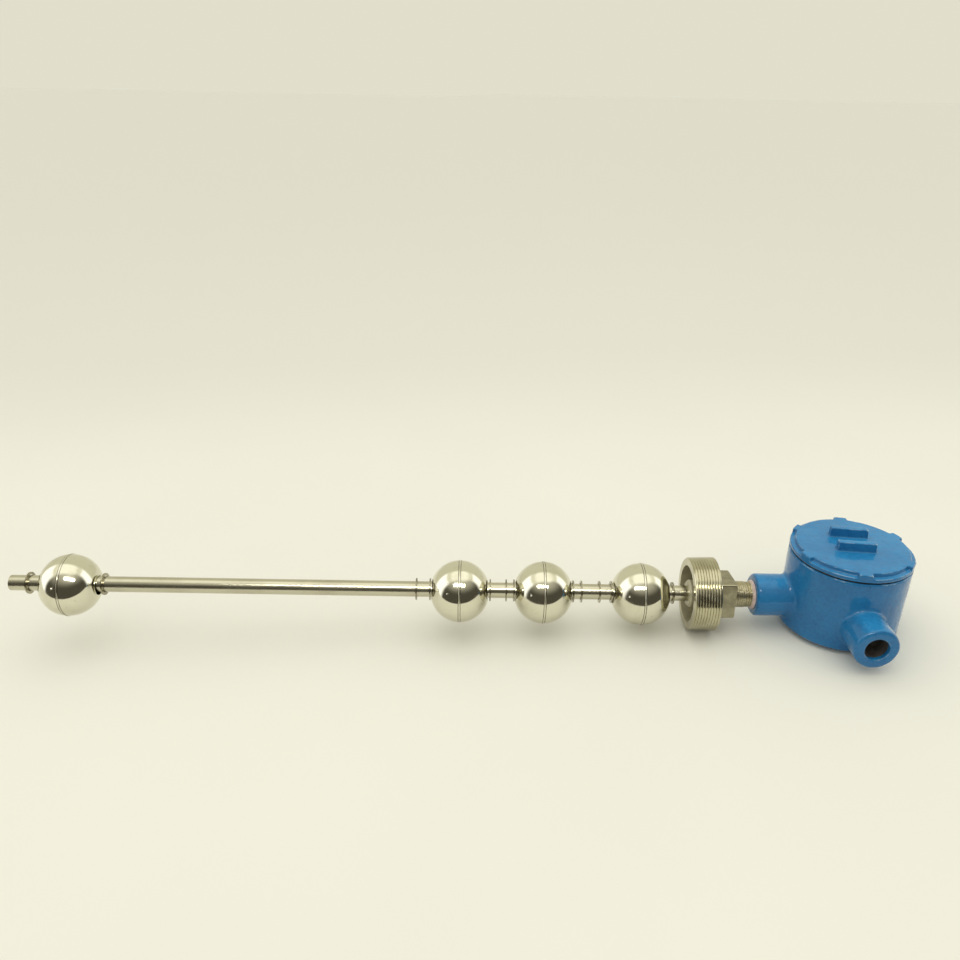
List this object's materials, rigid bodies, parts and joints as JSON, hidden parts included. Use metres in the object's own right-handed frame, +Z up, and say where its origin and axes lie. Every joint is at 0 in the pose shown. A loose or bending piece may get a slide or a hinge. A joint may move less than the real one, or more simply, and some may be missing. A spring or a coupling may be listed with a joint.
{
  "type": "float level switch",
  "caption": "Multi-point float level switch: steel stem with sliding ball floats between clips, threaded pipe plug and round cast junction box with screwed cover.",
  "frame": {"origin": "on the stem's axis, at the shoulder between the plug's pipe thread and its square head", "axes": "+X along the stem from its free end towards the junction box; +Z up through the junction box cover; -Y towards the open conduit hub"},
  "size_m": [0.7287, 0.1208, 0.0865],
  "materials": {
    "drawn_stainless": "drawn, softly polished",
    "machined_stainless": "turned, fine tool lines",
    "polished_stainless": "mirror polished",
    "spring_steel": "stamped, bright",
    "box_enamel": "glossy blue enamel over a cast surface",
    "black_rubber": "moulded",
    "thread_sealant": "set paste",
    "green_screw": "green finish",
    "potting_resin": "cast",
    "ferrite": "sintered",
    "reed_glass": "clear",
    "black_insulation": "extruded",
    "red_insulation": "extruded",
    "yellow_insulation": "extruded",
    "blue_insulation": "extruded",
    "orange_insulation": "extruded"
  },
  "bodies": {
    "stem_and_box": {"stem_tube": "drawn_stainless", "stem_end_cap": "drawn_stainless", "retaining_clips": "spring_steel", "process_plug": "machined_stainless", "stem_bushing": "machined_stainless", "conduit_nipple": "machined_stainless", "thread_sealant": "thread_sealant", "junction_box": "box_enamel", "earth_screw": "green_screw", "lead_seal": "potting_resin", "reed_switch_1": "reed_glass", "reed_switch_2": "reed_glass", "reed_switch_3": "reed_glass", "reed_switch_4": "reed_glass", "lead_common": "black_insulation", "lead_float_1": "red_insulation", "lead_float_2": "yellow_insulation", "lead_float_3": "blue_insulation", "lead_float_4": "orange_insulation"},
    "float_1": {"float_1_shell_far": "polished_stainless", "float_1_shell_near": "polished_stainless", "float_1_tube": "polished_stainless", "float_1_magnet": "ferrite"},
    "float_2": {"float_2_shell_far": "polished_stainless", "float_2_shell_near": "polished_stainless", "float_2_tube": "polished_stainless", "float_2_magnet": "ferrite"},
    "float_3": {"float_3_shell_far": "polished_stainless", "float_3_shell_near": "polished_stainless", "float_3_tube": "polished_stainless", "float_3_magnet": "ferrite"},
    "float_4": {"float_4_shell_far": "polished_stainless", "float_4_shell_near": "polished_stainless", "float_4_tube": "polished_stainless", "float_4_magnet": "ferrite"},
    "o_ring": {"cover_o_ring": "black_rubber"},
    "cover": {"junction_box_cover": "box_enamel"}
  },
  "joints": [
    {"name": "float_1_slide", "type": "slide", "parent": "stem_and_box", "child": "float_1", "axis": [1, 0, 0], "range_m": [-0.0094, 0.0046]},
    {"name": "float_2_slide", "type": "slide", "parent": "stem_and_box", "child": "float_2", "axis": [1, 0, 0], "range_m": [-0.0008, 0.0014]},
    {"name": "float_3_slide", "type": "slide", "parent": "stem_and_box", "child": "float_3", "axis": [1, 0, 0], "range_m": [-0.0006, 0.001]},
    {"name": "float_4_slide", "type": "slide", "parent": "stem_and_box", "child": "float_4", "axis": [1, 0, 0], "range_m": [-0.0009, 0.0026]},
    {"name": "cover_lift", "type": "slide", "parent": "stem_and_box", "child": "o_ring", "axis": [0, 0, 1], "range_m": [0, 0.014]},
    {"name": "cover_turn", "type": "hinge", "parent": "o_ring", "child": "cover", "pos_m": [0.1057, 0, 0.0417], "axis": [0, 0, 1], "range_deg": [0, 2000]}
  ],
  "couplings": [
    {"joint": "cover_lift", "follows": "cover_turn", "m_per_rad": 0.00039789}
  ]
}
